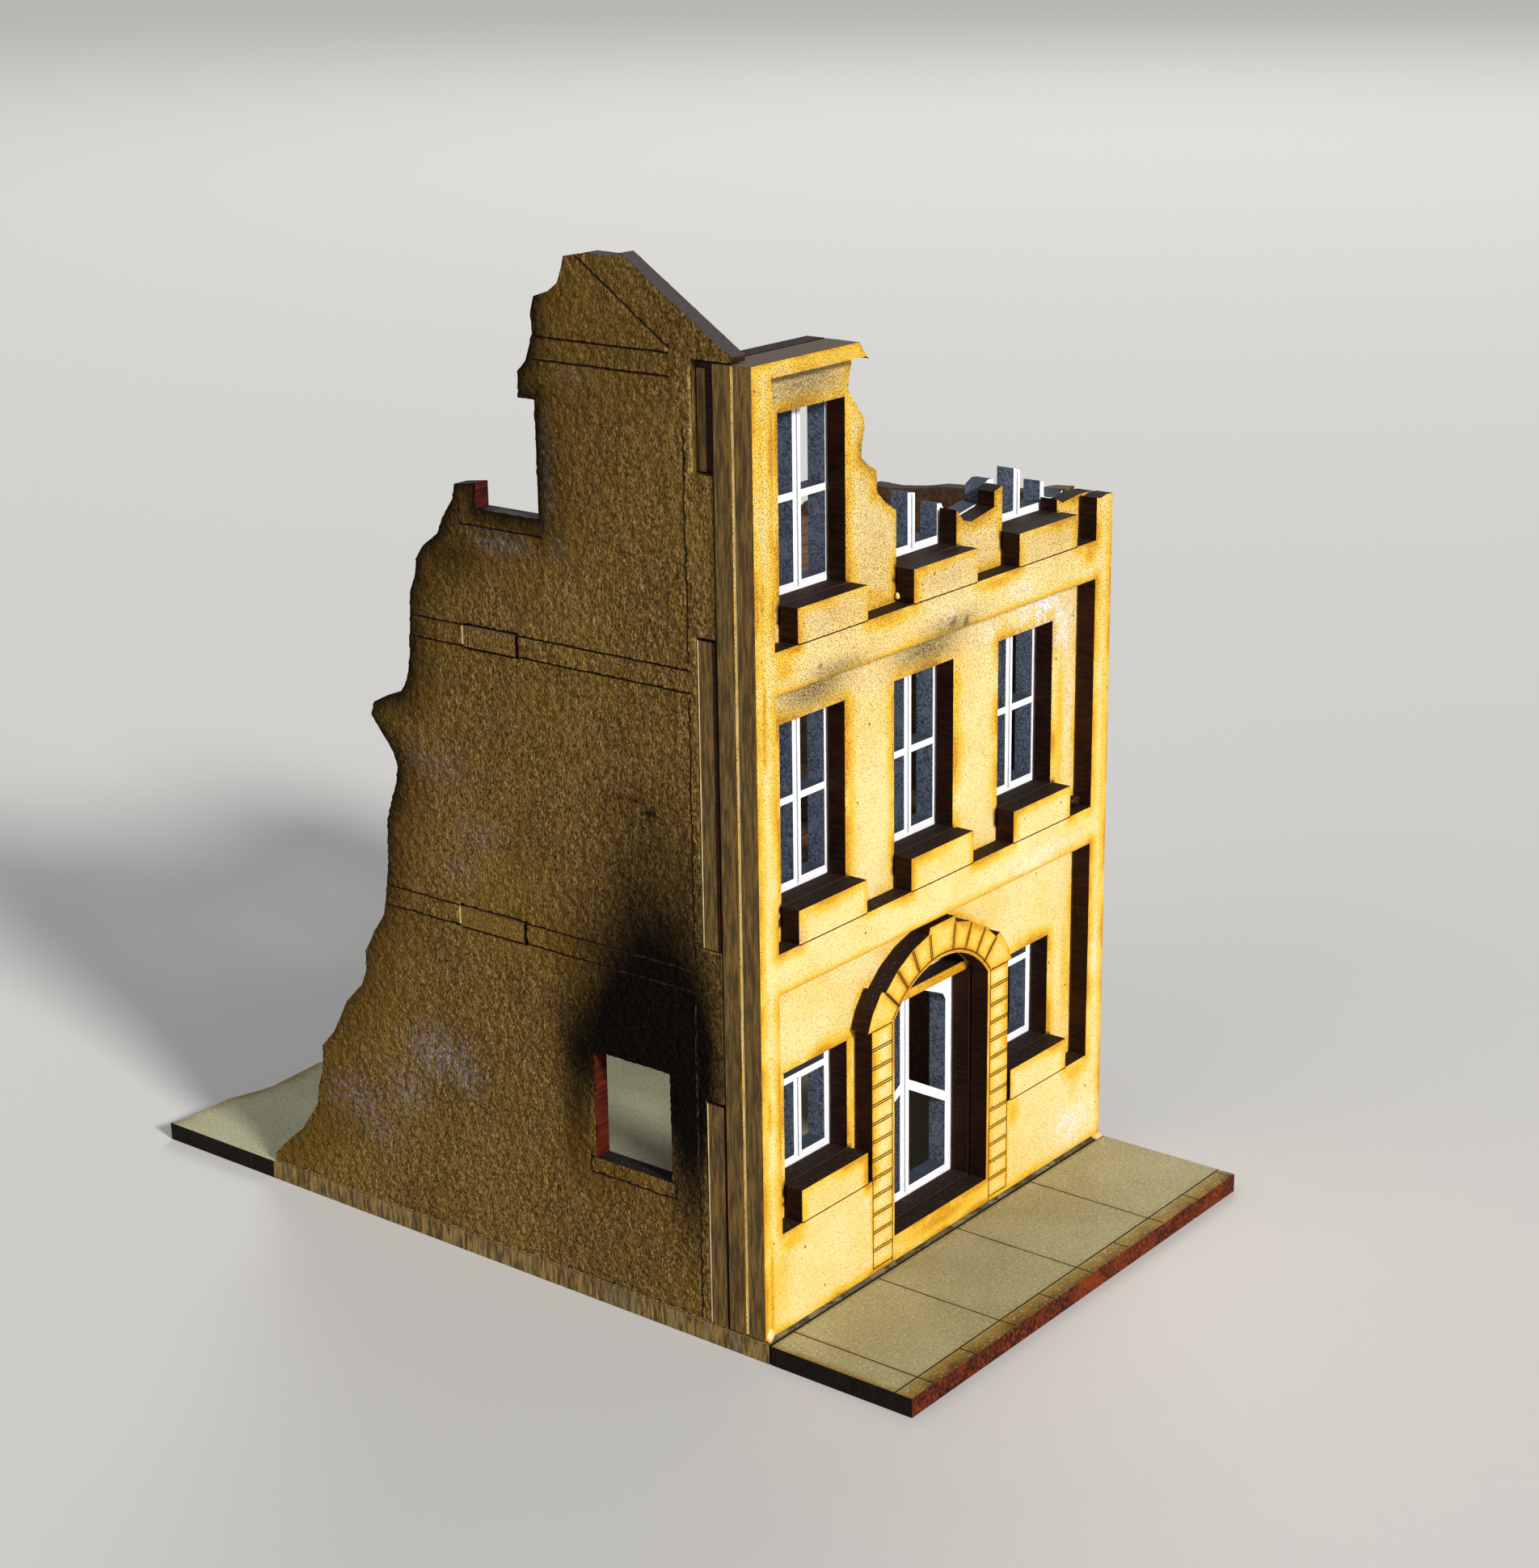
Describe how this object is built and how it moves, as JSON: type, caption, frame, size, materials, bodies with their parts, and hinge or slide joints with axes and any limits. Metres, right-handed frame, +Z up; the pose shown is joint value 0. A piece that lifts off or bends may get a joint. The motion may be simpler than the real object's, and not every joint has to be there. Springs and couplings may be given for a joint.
{
  "type": "miniature terrain ruin",
  "caption": "Tabletop terrain ruin of a town house, built of flat glued sheets, with a broken gable, party wall, floors and pavement.",
  "frame": {"origin": "middle of the bounding box, on the underside of the base", "axes": "+X along the facade from the gable to the party wall, +Y from the facade to the open rear, +Z up"},
  "size_m": [0.0844, 0.1458, 0.1486],
  "materials": {
    "ground_paint": "pale green-beige matt paint on fibreboard",
    "pavement_paint": "olive-beige matt paint with engraved joints",
    "facade_paint": "cream-yellow matt paint, scorched orange at the cut edges",
    "joinery_paint": "white matt paint",
    "stucco_paint": "ochre-brown textured paint",
    "raw_board": "dark brown unpainted fibreboard with burnt edges",
    "floor_board": "brown matt paint with engraved boards"
  },
  "bodies": {
    "root": {"base_plate": "ground_paint", "pavement": "pavement_paint", "facade_overlay": "facade_paint", "facade_wall": "facade_paint", "window_sheet": "joinery_paint", "gable_wall": "stucco_paint", "party_wall": "raw_board", "first_floor": "floor_board", "second_floor": "floor_board"}
  },
  "joints": []
}
